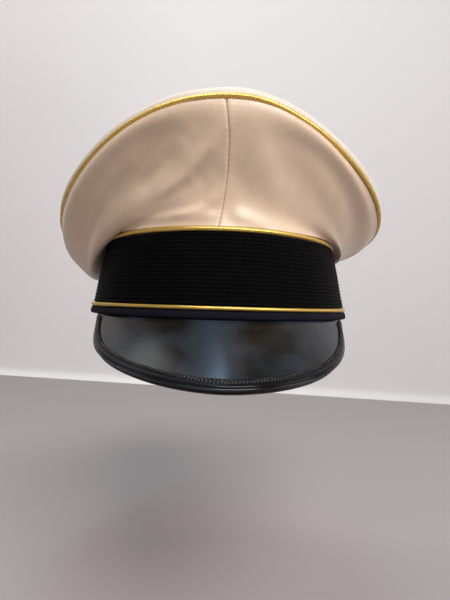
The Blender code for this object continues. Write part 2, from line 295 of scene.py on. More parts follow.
def stitch_row(name, place, middle, half, radius, look, sides=6):
    """Short round-ended threads along a line of places, each half a length either way from its middle."""
    start, finish = place(middle - half), place(middle + half)
    along = unit(finish - start)
    side = unit(np.cross(along, (0.31, 0.17, 0.93)))
    up = np.cross(along, side)
    turn = tube_turns(sides).T[..., None]
    ring = cos(turn) * side + sin(turn) * up
    rings = [mix(start, finish, share) + ring * (radius * width) for share, width in STITCH_PROFILE]
    points = np.moveaxis(np.stack(rings), 2, 0)
    last = len(STITCH_PROFILE) * sides
    here = np.arange(last - sides)
    after = np.where((here + 1) % sides, here + 1, here + 1 - sides)
    faces = np.stack([here, after, after + sides, here + sides], axis=1).tolist()
    faces += [list(range(sides))[::-1], list(range(last - sides, last))]
    all_faces = [[copy * last + k for k in face] for copy in range(len(start)) for face in faces]
    new_piece(name, points, all_faces, look)


def evenly(line, count):
    """A closed line of points again, count of them evenly spaced, and its length."""
    closed = np.concatenate([line, line[:1]])
    along = np.concatenate([[0], np.cumsum(steps(closed, 0))])
    at = np.linspace(0, along[-1], count, endpoint=False)
    return np.stack([np.interp(at, along, closed[:, k]) for k in range(3)], axis=1), along[-1]


def braided_cord(name, line, radius, pitch, around=14, per_pitch=8):
    """A closed cord covered with flat metallic thread that crosses over and under itself."""
    _, length = evenly(line, 16)
    repeats = round(length / pitch)
    centres, _ = evenly(line, repeats * per_pitch)
    forward = unit(np.roll(centres, -1, 0) - np.roll(centres, 1, 0))
    outward = unit(np.cross(forward, (0.0, 0.0, 1.0)))
    up = np.cross(outward, forward)
    turn = tube_turns(around)
    station = np.arange(len(centres))[:, None] / per_pitch * ALL_ROUND
    strand = np.abs(cos(station / 2 + 2 * turn)) ** 0.7
    crossing = cos(3 * turn - station)
    uneven = smooth_noise(3, station * 0.05, turn, waves=6, highest=3)
    reach = radius * (0.90 + 0.10 * strand + 0.05 * crossing + 0.03 * uneven)
    ring = cos(turn)[..., None] * outward[:, None] + sin(turn)[..., None] * up[:, None]
    points = centres[:, None] + scaled(ring, reach)
    return surface(name, points, "gold", CORD, repeats=repeats)


# ---- materials


class Nodes:
    """A material or world under construction, with short names for the nodes that this scene uses."""

    def __init__(self, owner, shader):
        self.owner = owner
        owner.use_nodes = True
        self.tree = owner.node_tree
        self.shader = self.tree.nodes[shader]

    def give(self, socket, value):
        if isinstance(value, bpy.types.NodeSocket):
            self.tree.links.new(value, socket)
        else:
            socket.default_value = value

    def make(self, kind, settings=None, **inputs):
        node = self.tree.nodes.new("ShaderNode" + kind)
        for key, value in (settings or {}).items():
            setattr(node, key, value)
        self.fill(node, inputs)
        return node

    def fill(self, node, inputs):
        for key, value in inputs.items():
            self.give(node.inputs[key.replace("_", " ")], value)

    def set(self, **inputs):
        self.fill(self.shader, inputs)

    def math(self, operation, *values):
        node = self.make("Math", {"operation": operation})
        for socket, value in zip(node.inputs, values):
            self.give(socket, value)
        return node.outputs[0]

    def weighted(self, *terms):
        """The sum of values, each given with its weight."""
        first, *more = [self.math("MULTIPLY", value, weight) for value, weight in terms]
        for term in more:
            first = self.math("ADD", first, term)
        return first

    def uv(self):
        return self.make("UVMap", {"uv_map": "cloth"}).outputs["UV"]

    def place(self):
        return self.make("TexCoord").outputs["Object"]

    def split(self, vector):
        return self.make("SeparateXYZ", Vector=vector).outputs

    def turned(self, vector, angle=0.0, scale=(1.0, 1.0, 1.0)):
        return self.make("Mapping", Vector=vector, Rotation=(0.0, 0.0, angle), Scale=scale).outputs["Vector"]

    def wave(self, way, value, scale):
        """A wave between 0 and 1, with scale radians for each unit of the value."""
        swing = self.math(way, self.math("MULTIPLY", value, scale))
        return self.math("MULTIPLY_ADD", swing, 0.5, 0.5)

    def stripes(self, vector, angle, period):
        """Soft parallel ribs, 0 to 1, across a turned vector in millimetres."""
        return self.wave("SINE", self.split(self.turned(vector, angle))[0], ALL_ROUND / period)

    def phase_wave(self, vector, turns):
        """A wave, 0 to 1, with so many turns for each unit of the vector's first two numbers."""
        return self.wave("COSINE", self.weighted(*zip(self.split(vector)[:2], turns)), ALL_ROUND)

    def noise(self, vector, scale, detail=3.0, roughness=0.5):
        node = self.make("TexNoise", Vector=vector, Scale=scale, Detail=detail, Roughness=roughness)
        return node.outputs["Fac"]

    def stretched_noise(self, vector, angle, scale, detail=3.0, roughness=0.5):
        """Noise drawn out into fibres: a small number in the scale is a long way."""
        return self.noise(self.turned(vector, angle, (*scale, 1.0)), 1.0, detail, roughness)

    def ramp(self, value, *stops):
        node = self.make("ValToRGB", Fac=value)
        elements = node.color_ramp.elements
        while len(elements) < len(stops):
            elements.new(0.5)
        for element, (at, colour) in zip(elements, stops):
            element.position = at
            element.color = (*colour, 1.0)
        return node.outputs["Color"]

    def range(self, value, low, high, start=0.0, end=1.0):
        """The value between start and end, as a share of the way from low to high."""
        node = self.make("MapRange", Value=value, From_Min=start, From_Max=end, To_Min=low, To_Max=high)
        return node.outputs["Result"]

    def blend(self, share, first, colour):
        node = self.make("Mix", {"data_type": "RGBA"}, Factor=share, A=first, B=(*colour, 1.0))
        return node.outputs["Result"]

    def bump(self, height, depth, under=None):
        """Surface relief depth millimetres deep."""
        node = self.make("Bump", Height=height, Distance=depth * MM, Strength=1.0)
        if under is not None:
            self.give(node.inputs["Normal"], under)
        return node.outputs["Normal"]


def material(name):
    return Nodes(bpy.data.materials.new(name), "Principled BSDF")


def twill(name, light, dark, angle, period, relief, sheen=0.5, roughness=0.38, shine=0.95):
    """Woven cloth: diagonal ribs crossed by finer threads, with uneven yarn and faint soiling."""
    n = material(name)
    uv = n.uv()
    soiling = n.noise(n.turned(uv, scale=(0.02, 0.02, 0.02)), 3.0)
    ribs = n.stripes(uv, angle, period)
    threads = n.stripes(uv, angle + radians(90), period * 0.8)
    yarn = n.stretched_noise(uv, angle, (1.6, 0.12), 2.0)
    crossed = n.math("MULTIPLY", ribs, n.range(threads, 0.62, 1.0))
    weave = n.weighted((crossed, 0.8), (yarn, 0.35))
    tone = n.weighted((weave, 0.45), (soiling, 0.5))
    n.set(Base_Color=n.ramp(tone, (0.15, dark), (0.85, light)))
    n.set(Roughness=n.range(weave, roughness + 0.08, roughness - 0.06))
    fibres = n.bump(n.noise(uv, 2.6, 4.0), relief * 0.35)
    n.set(Normal=n.bump(weave, relief, fibres))
    n.set(Sheen_Weight=sheen, Sheen_Roughness=0.38, Specular_IOR_Level=shine)
    n.set(Sheen_Tint=(1.0, 0.98, 0.96, 1.0))
    return n.owner


def gold_braid():
    """Gilt thread wound slantwise, with fine threads across: its colour paints shade into the grooves between
    the strands and a highlight on their crests.
    """
    n = material("gold_braid")
    uv = n.uv()
    strand = n.phase_wave(uv, (0.5, 2.0))
    threads = n.phase_wave(uv, (3.0, -5.0))
    ridge = n.math("ABSOLUTE", n.math("SUBTRACT", n.math("MULTIPLY", strand, 2.0), 1.0))
    wander = n.stretched_noise(uv, 0.0, (0.11, 1.0), 4.0)
    tone = n.weighted((ridge, 0.6), (threads, 0.2), (wander, 0.35))
    # the groove colour is painted shade and the brightest colour is a painted highlight
    painted_groove_shade, strand_gold, painted_glint = (0.34, 0.17, 0.02), (0.74, 0.43, 0.06), (1.0, 0.76, 0.27)
    n.set(Base_Color=n.ramp(tone, (0.2, painted_groove_shade), (0.6, strand_gold), (0.95, painted_glint)))
    n.set(Metallic=0.85, Roughness=n.range(wander, 0.22, 0.42))
    n.set(Normal=n.bump(threads, 0.06))
    return n.owner


def mohair():
    """Black ribbed braid: tight glossy loops along each rib, dull between the ribs, with glints painted on
    the loops and shade painted between them.
    """
    n = material("mohair_braid")
    uv = n.uv()
    slant, period = radians(32), 1.2
    loops = n.math("MULTIPLY", n.stripes(uv, slant, period), n.stripes(uv, -slant, period))
    tone = n.weighted((loops, 0.7), (n.noise(uv, 1.8, 4.0), 0.35))
    # the darkest colour is painted shade between the loops and the brightest is a painted glint on them
    painted_loop_shade, side, painted_glint = (0.0002, 0.0002, 0.0003), (0.0012, 0.0011, 0.0012), (0.020, 0.018, 0.020)
    n.set(Base_Color=n.ramp(tone, (0.25, painted_loop_shade), (0.55, side), (0.95, painted_glint)))
    n.set(Roughness=n.range(loops, 0.8, 0.35))
    n.set(Normal=n.bump(tone, 0.3), Specular_IOR_Level=0.05)
    return n.owner


def patent(name, deep, pale, painted_reflection, haze, gloss, shine, streak):
    """Patent leather: a deep gloss, scuffed down its slope, with a bluish reflection painted into its colour
    down its middle.
    """
    n = material(name)
    at = n.place()
    uv = n.uv()
    cloud = n.noise(at, 28.0, 4.0)
    hairs = n.stretched_noise(uv, radians(24), (0.9, 0.012), 5.0, 0.7)
    crossing = n.stretched_noise(uv, radians(-57), (0.7, 0.016), 5.0, 0.7)
    scuffs = n.math("MULTIPLY", n.range(hairs, 0.0, 1.0, 0.56, 0.72), n.range(crossing, 0.0, 1.0, 0.45, 0.7))
    from_middle = n.math("ABSOLUTE", n.split(at)[0])
    # a bluish band down the middle, a painted reflection mixed into the base colour
    middle = n.range(from_middle, 0.7, 0.0, 0.002, 0.017)
    n.set(Base_Color=n.blend(middle, n.ramp(cloud, (0.44, deep), (0.60, pale)), painted_reflection))
    smooth = n.range(cloud, gloss, gloss + 0.10, 0.35, 0.7)
    n.set(Roughness=n.math("ADD", smooth, n.math("MULTIPLY", scuffs, haze)))
    n.set(Normal=n.bump(n.noise(at, 16.0, 2.0), 0.5, n.bump(scuffs, 0.012)))
    n.set(Specular_IOR_Level=shine, IOR=1.5, Anisotropic=streak, Anisotropic_Rotation=0.25)
    tangent = n.make("Tangent", {"direction_type": "UV_MAP", "uv_map": "cloth"})
    n.set(Tangent=tangent.outputs["Tangent"])
    return n.owner


def leather(name, light, dark, grain, roughness=0.5, coat=0.0):
    n = material(name)
    at = n.place()
    cells = n.make("TexVoronoi", Vector=at, Scale=grain).outputs["Distance"]
    patches = n.noise(at, 34.0, 4.0)
    height = n.weighted((cells, 0.8), (n.noise(at, grain * 2.4, 4.0), 0.35))
    tone = n.weighted((patches, 0.8), (cells, 0.25))
    n.set(Base_Color=n.ramp(tone, (0.25, dark), (0.75, light)))
    n.set(Roughness=n.range(patches, roughness + 0.1, roughness - 0.12, 0.3, 0.7))
    n.set(Normal=n.bump(height, 0.12), Coat_Weight=coat, Coat_Roughness=0.2)
    return n.owner


def satin():
    n = material("lining_satin")
    floats = n.stretched_noise(n.uv(), 0.0, (0.18, 3.2))
    tone = n.weighted((floats, 0.4), (n.noise(n.place(), 22.0), 0.6))
    n.set(Base_Color=n.ramp(tone, (0.3, (0.60, 0.52, 0.40)), (0.7, (0.80, 0.73, 0.60))))
    n.set(Roughness=n.range(floats, 0.44, 0.28), Normal=n.bump(floats, 0.05))
    n.set(Sheen_Weight=0.4, Sheen_Roughness=0.3, Anisotropic=0.5)
    return n.owner


def vinyl():
    n = material("clear_vinyl")
    cloud = n.noise(n.place(), 30.0)
    n.set(Base_Color=n.ramp(cloud, (0.3, (0.80, 0.82, 0.82)), (0.7, (0.90, 0.90, 0.88))))
    n.set(Roughness=n.range(cloud, 0.06, 0.22), Normal=n.bump(cloud, 0.3))
    n.set(Alpha=0.3, Specular_IOR_Level=0.6)
    return n.owner


def metal(name, light, dark, roughness):
    """Drawn metal with lines along it and a little tarnish."""
    n = material(name)
    at = n.place()
    lines = n.noise(n.turned(at, 0.0, (900.0, 900.0, 60.0)), 1.0)
    tarnish = n.noise(at, 60.0, 4.0)
    tone = n.weighted((lines, 0.3), (tarnish, 0.7))
    n.set(Base_Color=n.ramp(tone, (0.3, dark), (0.65, light)), Metallic=1.0)
    n.set(Roughness=n.range(tarnish, roughness - 0.08, roughness + 0.14), Normal=n.bump(lines, 0.02))
    return n.owner


def fibrous(name, light, dark, scale, relief, roughness=0.85):
    """Felt, buckram or pressed fibre: matted fibres at random."""
    n = material(name)
    at = n.place()
    mat = n.noise(at, scale, 6.0, 0.7)
    tone = n.weighted((mat, 0.6), (n.noise(at, scale * 0.08), 0.4))
    n.set(Base_Color=n.ramp(tone, (0.3, dark), (0.7, light)))
    n.set(Roughness=n.range(mat, roughness + 0.08, roughness - 0.06), Normal=n.bump(mat, relief))
    return n.owner


def thread(name, light, dark):
    n = material(name)
    twist = n.noise(n.place(), 2600.0, 2.0)
    n.set(Base_Color=n.ramp(twist, (0.3, dark), (0.7, light)), Roughness=n.range(twist, 0.5, 0.7))
    n.set(Normal=n.bump(twist, 0.05), Sheen_Weight=0.2)
    return n.owner


CREAM_LIGHT, CREAM_DARK = (0.82, 0.62, 0.45), (0.63, 0.44, 0.295)
TOP_LIGHT, TOP_DARK = (0.76, 0.67, 0.57), (0.64, 0.54, 0.43)
NAVY_LIGHT, NAVY_DARK = (0.0125, 0.0105, 0.021), (0.002, 0.002, 0.006)
GLOSS = (0.007, 0.0065, 0.006), (0.018, 0.022, 0.028), (0.026, 0.036, 0.050)  # deep, pale and a painted reflection; the bluish pale tone is painted reflection of the cool room too
# the binding's third colour is a faint painted reflection down its middle
EDGE_GLOSS = (0.006, 0.0055, 0.006), (0.012, 0.011, 0.012), (0.007, 0.007, 0.008)
LOOK = {
    "twill_left": twill("crown_twill_left", CREAM_LIGHT, CREAM_DARK, radians(12), 1.0, 0.08),
    "twill_right": twill("crown_twill_right", CREAM_LIGHT, CREAM_DARK, radians(49), 1.15, 0.09),
    "twill_top": twill("crown_twill_top", TOP_LIGHT, TOP_DARK, radians(45), 1.25, 0.09, 0.2, 0.5, 0.5),
    "gold": gold_braid(),
    "mohair": mohair(),
    "navy": twill("navy_twill", NAVY_LIGHT, NAVY_DARK, radians(40), 0.95, 0.18, 0.0, 0.85, 0.12),
    "patent": patent("visor_patent_gloss", *GLOSS, haze=0.15, gloss=0.18, shine=0.26, streak=0.8),
    "binding": patent("visor_binding_gloss", *EDGE_GLOSS, haze=0.1, gloss=0.12, shine=0.09, streak=0.0),
    "visor_lining": leather("visor_leathercloth", (0.045, 0.044, 0.043), (0.018, 0.018, 0.018), 900.0, 0.55),
    "leather": leather("sweatband_leather", (0.42, 0.23, 0.11), (0.24, 0.12, 0.055), 1100.0, 0.48, 0.12),
    "satin": satin(),
    "vinyl": vinyl(),
    "steel": metal("spring_steel_wire", (0.62, 0.63, 0.65), (0.40, 0.41, 0.43), 0.3),
    "brass": metal("ferrule_brass_tube", (0.86, 0.64, 0.28), (0.60, 0.41, 0.15), 0.32),
    "felt": fibrous("rim_wadding", (0.86, 0.84, 0.78), (0.66, 0.63, 0.56), 900.0, 0.3),
    "buckram": fibrous("buckram_board", (0.68, 0.62, 0.50), (0.50, 0.44, 0.33), 1400.0, 0.15),
    "fibre": fibrous("pressed_fibre", (0.20, 0.17, 0.14), (0.11, 0.09, 0.075), 1100.0, 0.1),
    "black_thread": thread("black_thread", (0.060, 0.050, 0.047), (0.014, 0.012, 0.011)),
    "tan_thread": thread("tan_thread", (0.62, 0.50, 0.34), (0.38, 0.28, 0.17)),
    "ribbon": thread("bow_ribbon", (0.030, 0.030, 0.033), (0.012, 0.012, 0.013)),
}


# ---- outlines


def band_point(angle, out, height):
    """A place on the band's slope, so far out from the head opening."""
    rise = height - EDGE_HEIGHT
    half_width = HALF_WIDTH + out - SIDE_LEAN * rise
    half_length = HALF_LENGTH + out - FRONT_LEAN * rise
    return joined(half_width * sin(angle), -half_length * cos(angle), height)


def rim_centre(angle):
    """The middle of the rim's piping, with the bends in its wire."""
    turned = signed(angle)
    front = np.abs(cos(angle / 2)) ** 7
    back = np.abs(sin(angle / 2)) ** 8
    height = RIM_SIDE_HEIGHT + (RIM_FRONT_HEIGHT - RIM_SIDE_HEIGHT) * front + RIM_BACK_RISE * back
    height = height + CROWN_LEAN * sin(angle)
    for bend, middle, width in ((RIM_KINK, 9, 9), (-RIM_DIP, 38, 14), (RIM_RIGHT_LIFT, 88, 38)):
        height = height + bend * hump(turned, radians(middle), radians(width))
    return joined(RIM_HALF_WIDTH * sin(angle), RIM_BACKSET - RIM_HALF_LENGTH * cos(angle), height)


def rim_point(angle, inset, lift):
    outward = unit(joined(sin(angle) / RIM_HALF_WIDTH, -cos(angle) / RIM_HALF_LENGTH, 0.0))
    return rim_centre(angle) - scaled(outward, inset) + joined(0.0, 0.0, lift)


def roll_point(angle, turn, radius):
    """A place round the rim's wire: a turn of 0 is outwards and a quarter turn is up."""
    return rim_point(angle, WIRE_INSET - radius * cos(turn), WIRE_LIFT + radius * sin(turn))


def bezier(points, share):
    """A curve through a list of (across, up) control points, each an array pair."""
    order = len(points) - 1
    across, up = 0.0, 0.0
    weight = np.ones_like(share)
    for i, (x, y) in enumerate(points):
        term = weight * share**i * (1 - share) ** (order - i)
        across, up = across + term * x, up + term * y
        weight = weight * (order - i) / (i + 1)
    return across, up


def wall_point(angle, share):
    """The crown's side wall: hollow and upright in front, hanging over the band at the sides and back."""
    turned = np.abs(signed(angle))
    foot = band_point(angle, PIPING_SEAT, TOP_HEIGHT)
    level = roll_point(angle, radians(-16), ROLL_RADIUS) - foot
    rise = level[..., 2]
    out = np.hypot(level[..., 0], level[..., 1])
    direction = joined(level[..., 0] / out, level[..., 1] / out, 0.0)
    right = smoothstep(sin(angle) * 1.4)
    hang = mix(1.0, 0.72, smoothstep((turned - pi / 2) / (pi / 2))) * mix(1.0, 0.42, right)
    slim = 18.5 * right
    # both outlines are control points of a curve, each as (out from the foot, up)
    standing = [(0, 1.3), (-4.0, 0.2 * rise), (-1.6, 0.42 * rise)]
    standing += [(out - 2.0, 0.58 * rise), (out + 0.6, 0.82 * rise), (out, rise)]
    hanging = [(0, 2.3), (7.2, 5.6), (5.0, -22 * hang)]
    hanging += [(7.2, -33 * hang), (out - 7.2 - slim, rise - 30 * hang), (out, rise)]
    part = smoothstep((turned - radians(16)) / radians(66))
    profile = [(mix(a[0], b[0], part), mix(a[1], b[1], part)) for a, b in zip(standing, hanging)]
    across, up = bezier(profile, share)
    return foot + scaled(direction, across) + joined(0.0, 0.0, up)


# ---- crown

WALL_HEIGHT = 66.0  # of the cloth, at the front
ROUND_THE_WALL = 108.0  # millimetres for each radian of the wall


def ridge(angle, share, places, height, width):
    """A soft ridge along a line of places on the wall, each given as degrees round and a share up.

    It dies away over the first and last part of its length.
    """
    x, y = signed(angle) * ROUND_THE_WALL, share * WALL_HEIGHT
    nearest = np.full(np.broadcast(x, y).shape, np.inf)
    reached = np.zeros(nearest.shape)
    length = 0.0
    for start, end in zip(places, places[1:]):
        x0, y0 = radians(start[0]) * ROUND_THE_WALL, start[1] * WALL_HEIGHT
        run_x, run_y = radians(end[0]) * ROUND_THE_WALL - x0, end[1] * WALL_HEIGHT - y0
        run = np.hypot(run_x, run_y)
        along = clip(((x - x0) * run_x + (y - y0) * run_y) / run**2, 0, 1)
        distance = np.hypot(x - x0 - along * run_x, y - y0 - along * run_y)
        reached = np.where(distance < nearest, length + along * run, reached)
        nearest = np.minimum(nearest, distance)
        length += run
    fade = smoothstep(reached / (0.3 * length)) * smoothstep((length - reached) / (0.3 * length))
    return height * fade * exp(-((nearest / width) ** 2))


FOLDS = (
    # places as (degrees round, share up), height, width
    (((5, 0.98), (-3, 0.64), (-10.5, 0.46), (-18, 0.38), (-27, 0.33)), 1.6, 3.9),
    (((-8, 0.43), (-20, 0.36), (-33, 0.30), (-50, 0.28), (-66, 0.27)), 1.7, 10.5),
    (((-4, 0.34), (-13, 0.25), (-28, 0.18), (-46, 0.12)), 1.9, 8.0),
    (((-10, 0.70), (-18, 0.56), (-25, 0.50), (-33, 0.48)), -1.3, 4.6),
    (((-13, 0.90), (-5, 0.70)), 0.4, 4.0),
    (((3, 0.36), (-5, 0.18), (-12, 0.12), (-22, 0.09)), 1.5, 3.6),
    (((2, 0.50), (-9, 0.36)), -0.5, 6.0),
    (((3, 0.12), (9, 0.08), (15, 0.04), (22, -0.02)), 2.5, 5.6),
    (((3, 0.98), (11, 0.66), (25, 0.20)), 0.9, 8.0),
    (((6, 0.84), (20, 0.64), (36, 0.55), (52, 0.56), (90, 0.64)), -2.0, 12.5),
    (((2, 0.56), (14, 0.14)), -0.5, 6.0),
    (((2, 0.86), (-13, 0.80), (-25, 0.60), (-41, 0.67), (-60, 0.76), (-90, 0.77)), -3.2, 10.0),
    (((-40, 0.78), (-80, 0.74)), -2.8, 9.5),
)

WIRE_SHARE = 0.935  # where the cloth passes over the rim's wire
LEFT_FOOT_SWELL = 1.3


def wall_relief(angle, share):
    """How far the wall's cloth stands out of its plain shape: drag folds from the front seam, and slack."""
    turned = signed(angle)
    relief = 0.0
    for places, height, width in FOLDS:
        relief = relief + ridge(angle, share, places, height, width)
    slack = smooth_noise(11, turned * 2.2, share * 3.0, waves=7, highest=2.4)
    back = smoothstep((np.abs(turned) - radians(60)) / radians(50))
    relief = relief + slack * mix(0.35, 1.5, back)
    held = sin(pi * clip(share, 0, 1)) ** 0.6
    centre = hump(turned, radians(3), radians(14))
    over_the_wire = mix(3.5, 2.2, centre) * hump(share, WIRE_SHARE, mix(0.085, 0.17, centre))
    left_foot = smoothstep((turned + radians(34)) / radians(14))
    left_foot = left_foot * smoothstep((radians(3) - turned) / radians(9))
    return relief * held + over_the_wire + LEFT_FOOT_SWELL * left_foot * hump(share, 0.10, 0.065)


SEAM_GAP = radians(0.015)


def seam_angle(seam, share):
    """The front seam wanders a little on its way up; the others are straight."""
    if seam % ALL_ROUND:
        return seam + 0 * share
    return radians(1.0) * share + radians(2.0) * sin(pi * share**0.9)


def quarter(name, start, end, look):
    u, v = down_rows(0, 1, 150), shares(96)
    low = seam_angle(start, v) + SEAM_GAP
    high = (seam_angle(end % ALL_ROUND, v) + (end - end % ALL_ROUND)) - SEAM_GAP
    angle = mix(low, high, u - 0.03 * sin(ALL_ROUND * u))
    share = v + 0 * u
    from_seam = np.minimum(angle - low, high - angle) * ROUND_THE_WALL
    turned_in = -0.2 * exp(-from_seam / 0.4) + 0.08 * hump(from_seam, 2.0, 1.0)
    puckers = 0.06 * sin(share * 150) * exp(-from_seam / 3.0)
    points = raised(wall_point(angle, share), wall_relief(angle, share) + turned_in + puckers)
    datum = 0 if name == "quarter_front_right" else -1
    piece = surface(name + "_cloth", points, look, thickness=CROWN_CLOTH, datum=datum)
    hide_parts(name)
    cut = (longest(points, 0), longest(points, 1))


def add_quarters():
    quarter("quarter_front_right", 0.0, pi / 2, "twill_right")
    quarter("quarter_rear_right", pi / 2, pi, "twill_right")
    quarter("quarter_rear_left", pi, 3 * pi / 2, "twill_left")
    quarter("quarter_front_left", 3 * pi / 2, ALL_ROUND, "twill_left")


def add_top_panel():
    """The top panel: a roll over the rim's wadding, then a sheet that rises over the head."""
    angle, share = ring_rows(360), shares(90, 0.992)
    roll_share = 0.16
    sideways = smoothstep(np.abs(signed(angle)) / radians(80))
    tuck = mix(radians(15), radians(45), sideways)
    radius = mix(4.7, 6.0, sideways)
    turn = mix(-tuck, radians(98), clip(share / roll_share, 0, 1))
    inset = radius * (cos(tuck) - cos(turn))
    edge = rim_point(angle, inset, radius * (sin(tuck) + sin(turn)))
    inner = clip((share - roll_share) / (1 - roll_share), 0, 1)
    across = scaled(edge, 1 - inner) + scaled(joined(0.0, RIM_BACKSET, 0.0), inner)
    height = mix(edge[..., 2], CROWN_HEIGHT, 1 - (1 - inner) ** 1.6)
    points = joined(across[..., 0], across[..., 1], height)
    slack = smooth_noise(5, points[..., 0] / 50, points[..., 1] / 50, waves=8, lowest=0.8, highest=2.6)
    pulls = sin(17 * angle + 2.0 * sin(3 * angle)) * hump(inner, 0.06, 0.09)
    points = raised(points, slack * 1.1 * smoothstep(inner * 4) + pulls * 0.16)
    piece = surface("top_panel", points, "twill_top", RING, CROWN_CLOTH, disc=True)
    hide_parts("crown_top_panel")


def add_front_stiffener():
    """The springy strip behind the front seam, pressed close to the folds of the cloth."""
    angle = radians(17.6) * down_rows(-1, 1, 61)
    v = shares(61)
    foot_share, foot_bottom = 0.25, 36.2
    foot = band_point(angle, 4.25, mix(foot_bottom, TOP_HEIGHT, clip(v / foot_share, 0, 1)))
    share = mix(0.03, 0.78, clip((v - foot_share) / (1 - foot_share), 0, 1))
    behind_the_cloth = 3.6 - np.minimum(wall_relief(angle, share), 0)
    outwards = surface_normals(wall_point(angle, mix(0.02, 0.98, v)))
    upper = wall_point(angle, share) - scaled(outwards, behind_the_cloth)
    points = np.where((v < foot_share)[..., None], foot, upper)
    piece = surface("front_stiffener", points, "fibre", thickness=0.6)
    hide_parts("front_support")


def add_rim_core():
    """The bent wire, the tube that joins its ends at the back, and the wadding rolled round it."""
    turn = tube_turns(12)
    half_gap, half_tube = radians(0.4), radians(4.0)
    wire = pi + half_gap + down_rows(0, ALL_ROUND - 2 * half_gap, 361)
    points = roll_point(wire, turn, WIRE_RADIUS)
    piece = surface("bent_wire", points, "steel", TUBE, caps=True)
    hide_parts("rim_wire")
    points = roll_point(pi + half_tube * down_rows(-1, 1, 17), turn, TUBE_RADIUS)
    piece = surface("joining_tube", points, "brass", TUBE, thickness=TUBE_WALL)
    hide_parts("wire_ferrule")
    ring = ring_rows(360)
    over = np.radians(np.linspace(-62, 146, 15))
    around = np.concatenate([over, over[::-1]])[None]
    radius = np.repeat([WADDING_OUT, WADDING_IN], len(over))[None]
    lumps = smooth_noise(51, ring * 6, around, waves=6, highest=3) * 0.1
    points = roll_point(ring, around, radius + lumps * (radius > WADDING_IN))
    piece = surface("wadding_roll", points, "felt", CORD)
    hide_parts("rim_padding")


def add_rim_piping():
    piece = braided_cord("rim_piping_braid", rim_centre(round_angles(720)), RIM_PIPING_RADIUS, 1.5)
    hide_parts("rim_piping")


# ---- band

RIBS = 18
RIB_SHARES = shares(RIBS * 6 + 1)  # six steps over each rib


def rib_relief(share):
    """The braid's ribs: round backs with sharp grooves between them."""
    return np.abs(sin(pi * RIBS * share)) ** 0.55


def add_band():
    angle, v = ring_rows(420), RIB_SHARES
    rib = rib_relief(v)
    wander = smooth_noise(21, signed(angle) * 3, v * 4, waves=6, highest=3)
    strands = 0.05 * sin(angle * 120) * rib
    out = BRAID_OUT - 0.62 + 0.55 * rib + strands + 0.25 * wander
    points = band_point(angle, out, mix(BRAID_BOTTOM, BRAID_TOP, v))
    piece = surface("mohair_band", points, "mohair", RING, 0.7)
    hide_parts("band_braid")
    length, tall = mean_size(points)
    add_braid_join()
    ring = round_angles(720)
    top = band_point(ring, PIPING_SEAT, TOP_HEIGHT)
    edge = band_point(ring, BRAID_OUT, EDGE_HEIGHT)
    upper = braided_cord("top_piping_braid", top, TOP_PIPING_RADIUS, 1.8, 12)
    lower = braided_cord("edge_piping_braid", edge, EDGE_PIPING_RADIUS, 1.9, 12)
    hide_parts("band_top_piping")
    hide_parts("band_edge_piping")
    add_welt()


def add_braid_join():
    """The strip that covers the braid's join at the back."""
    half_angle = radians(3.4)
    u, v = down_rows(-1, 1, 31), RIB_SHARES
    rounded = 0.5 * np.abs(u) ** 6
    out = BRAID_OUT + 0.75 - rounded + 0.25 * rib_relief(v)
    points = band_point(pi + half_angle * u, out, mix(BRAID_BOTTOM + 0.5, BRAID_TOP - 0.4, v))
    piece = surface("braid_join_strip", points, "mohair", thickness=0.55)
    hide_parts("braid_join")


def squared(wave, power):
    """A wave with the same ends and steeper sides, for powers below 1."""
    return np.sign(wave) * np.abs(wave) ** power


def add_welt():
    angle, turn = ring_rows(540), tube_turns(28)
    middle_out, half_width, half_height = 6.9, 1.5, WELT_TOP / 2
    ripple = 0.05 * sin(angle * 95 + 2 * turn)
    out = middle_out + (half_width + ripple) * squared(cos(turn), 0.75)
    points = band_point(angle, out, half_height + half_height * squared(sin(turn), 0.8))
    piece = surface("navy_welt", points, "navy", CORD)
    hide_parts("band_welt")


def add_band_cloth():
    """The navy cloth band under the braid, whose edges show above and below it."""
    low, high = node_box("band_cloth")
    points = band_point(ring_rows(240), 5.6, mix(low[2], high[2] - 0.3, shares(16)))
    piece = surface("navy_band_cloth", points, "navy", RING, 0.6, 1.0)
    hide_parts("band_cloth")
    length, tall = mean_size(points)


# ---- visor

GRADING = 1.7  # how the visor's length and slope change from its middle to its ends


def visor_length(side):
    return mix(VISOR_LENGTH, VISOR_END_LENGTH, np.abs(side) ** GRADING)


def visor_point(side, beyond, depth=0.0):
    """A point of the visor: beyond runs in millimetres down the slope, and depth under the glossy top."""
    angle = VISOR_HALF_ANGLE * side + VISOR_TURN
    root = band_point(angle, VISOR_ROOT_OUT, VISOR_ROOT_HEIGHT)
    half_width, half_length = HALF_WIDTH + BRAID_OUT, HALF_LENGTH + BRAID_OUT
    outward = unit(joined(sin(angle) / half_width, -cos(angle) / half_length, 0.0))
    slope = mix(VISOR_SLOPE, VISOR_END_SLOPE, np.abs(side) ** GRADING)
    slope = slope - VISOR_LIFT * hump(side, -0.55, 0.33)
    down = scaled(outward, cos(slope)) - joined(0.0, 0.0, sin(slope))
    under = scaled(-outward, sin(slope)) - joined(0.0, 0.0, cos(slope))
    share = clip(beyond / visor_length(side), 0, 1)
    camber = 0.8 * sin(pi * share) * visor_length(side) / VISOR_LENGTH
    tucked_up = joined(0.0, 0.0, 0.9 * smoothstep((np.abs(side) - 0.88) / 0.1))
    return root + tucked_up + scaled(down, beyond) + scaled(under, depth - camber)


